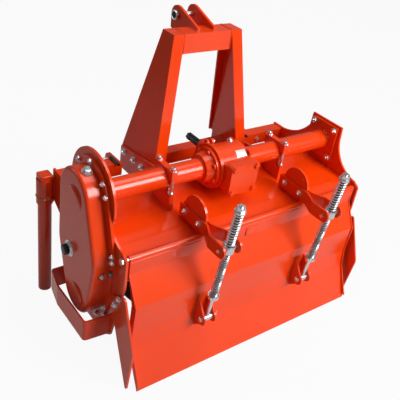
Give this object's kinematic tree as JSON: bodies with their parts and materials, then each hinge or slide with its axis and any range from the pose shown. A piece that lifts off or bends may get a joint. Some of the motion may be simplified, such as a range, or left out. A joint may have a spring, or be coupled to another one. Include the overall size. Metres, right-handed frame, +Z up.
{
  "type": "rotavator",
  "caption": "Three-point-hitch rotary tiller with side drive case, tined rotor under a folded hood, sprung levelling board, A-shaped mast and parking stand.",
  "frame": {"origin": "middle of the input shaft's front end face", "axes": "+X to the machine's right, +Y forward to the tractor along the input shaft, +Z up"},
  "size_m": [1.425, 0.9034, 1.2865],
  "materials": {
    "orange_paint": "gloss",
    "cast_orange_paint": "satin",
    "tine_paint": "satin",
    "zinc": "satin",
    "black_oxide": "satin"
  },
  "bodies": {
    "frame": {"bearing_cap": "orange_paint", "board_hinge_pin_left": "zinc", "board_hinge_pin_right": "zinc", "case_guard": "orange_paint", "drive_case": "orange_paint", "gearbox": "cast_orange_paint", "gearbox_cover": "cast_orange_paint", "hitch_beam": "orange_paint", "hitch_plate_left": "orange_paint", "hitch_plate_right": "orange_paint", "hood": "orange_paint", "hood_rib_left": "orange_paint", "hood_rib_right": "orange_paint", "link_bar_left": "orange_paint", "link_bar_right": "orange_paint", "lower_link_pin_left": "zinc", "lower_link_pin_right": "zinc", "main_tube_left": "orange_paint", "main_tube_right": "orange_paint", "mast_head": "orange_paint", "mast_leg_left": "orange_paint", "mast_leg_right": "orange_paint", "side_plate_left": "orange_paint", "side_plate_right": "orange_paint", "side_wing_left": "orange_paint", "side_wing_right": "orange_paint", "spring_fork_left": "orange_paint", "spring_fork_right": "orange_paint", "stand_sleeve": "orange_paint", "top_link_pin": "zinc", "tube_clamp_left": "orange_paint", "tube_clamp_right": "orange_paint", "tube_saddle_left": "orange_paint", "tube_saddle_right": "orange_paint"},
    "rotor": {"rotor_shaft": "orange_paint", "rotor_tines": "tine_paint"},
    "input": {"input_shaft": "black_oxide"},
    "board": {"levelling_board": "orange_paint", "board_lug_left": "orange_paint", "board_lug_right": "orange_paint"},
    "swivel_left": {"swivel_left": "zinc", "upper_spring_left": "zinc"},
    "swivel_right": {"swivel_right": "zinc", "upper_spring_right": "zinc"},
    "rod_left": {"spring_rod_left": "zinc", "lower_spring_left": "zinc"},
    "rod_right": {"spring_rod_right": "zinc", "lower_spring_right": "zinc"},
    "stand": {"stand_leg": "orange_paint"}
  },
  "joints": [
    {"name": "rotor_spin", "type": "hinge", "parent": "frame", "child": "rotor", "pos_m": [0, -0.315, -0.412], "axis": [1, 0, 0], "continuous": true},
    {"name": "input_spin", "type": "hinge", "parent": "frame", "child": "input", "pos_m": [0, 0, 0], "axis": [0, 1, 0], "continuous": true},
    {"name": "board_lift", "type": "hinge", "parent": "frame", "child": "board", "pos_m": [0, -0.525, -0.142], "axis": [-1, 0, 0], "range_deg": [0, 30]},
    {"name": "swivel_left_turn", "type": "hinge", "parent": "frame", "child": "swivel_left", "pos_m": [-0.279, -0.684, -0.091], "axis": [-1, 0, 0], "range_deg": [0, 27]},
    {"name": "rod_left_slide", "type": "slide", "parent": "swivel_left", "child": "rod_left", "axis": [0, -0.116, 0.9933], "range_m": [0, 0.0845], "deforming": ["lower_spring_left"]},
    {"name": "swivel_right_turn", "type": "hinge", "parent": "frame", "child": "swivel_right", "pos_m": [0.279, -0.684, -0.091], "axis": [-1, 0, 0], "range_deg": [0, 27]},
    {"name": "rod_right_slide", "type": "slide", "parent": "swivel_right", "child": "rod_right", "axis": [0, -0.116, 0.9933], "range_m": [0, 0.0845], "deforming": ["lower_spring_right"]},
    {"name": "stand_slide", "type": "slide", "parent": "frame", "child": "stand", "axis": [0, 0, 1], "range_m": [0, 0.25]}
  ],
  "couplings": [
    {"joint": "input_spin", "follows": "rotor_spin", "ratio": 2.6},
    {"joint": "swivel_left_turn", "follows": "board_lift", "ratio": 0.895},
    {"joint": "rod_left_slide", "follows": "board_lift", "m_per_rad": 0.161},
    {"joint": "swivel_right_turn", "follows": "board_lift", "ratio": 0.895},
    {"joint": "rod_right_slide", "follows": "board_lift", "m_per_rad": 0.161}
  ]
}
